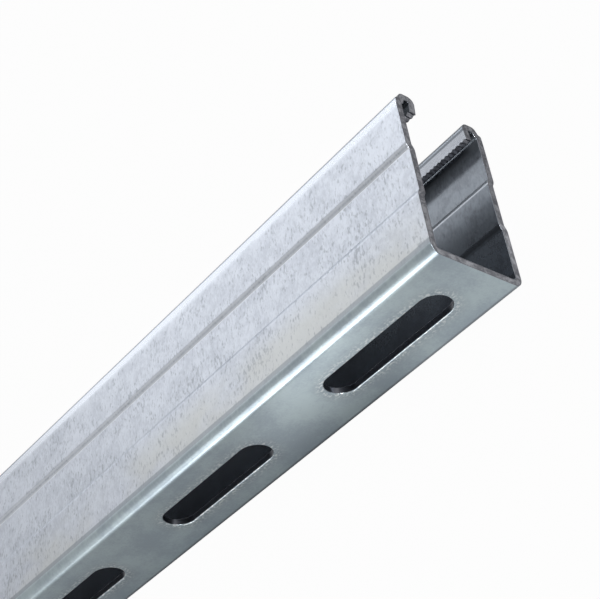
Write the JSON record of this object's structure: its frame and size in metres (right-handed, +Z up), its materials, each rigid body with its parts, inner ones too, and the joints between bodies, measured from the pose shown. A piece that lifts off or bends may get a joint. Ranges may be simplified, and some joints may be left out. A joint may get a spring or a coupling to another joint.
{
  "type": "slotted strut channel",
  "caption": "Deep lipped C-section steel strut channel with recessed wall bands, curled lips and a row of long slots through the web, cut to a stock length.",
  "frame": {"origin": "bottom centre of the bounding box, under the middle of the wall that the channel lies on", "axes": "+X along the length, towards the end with the shorter land before its first slot; +Y from the slotted web to the open mouth; +Z up, from the lower wall to the upper wall"},
  "size_m": [1, 0.072, 0.0413],
  "materials": {
    "galvanised_steel": "pre-galvanised strip, smooth and matt, with fine dark streaks from rolling"
  },
  "bodies": {
    "root": {"strut_channel": "galvanised_steel"}
  },
  "joints": []
}
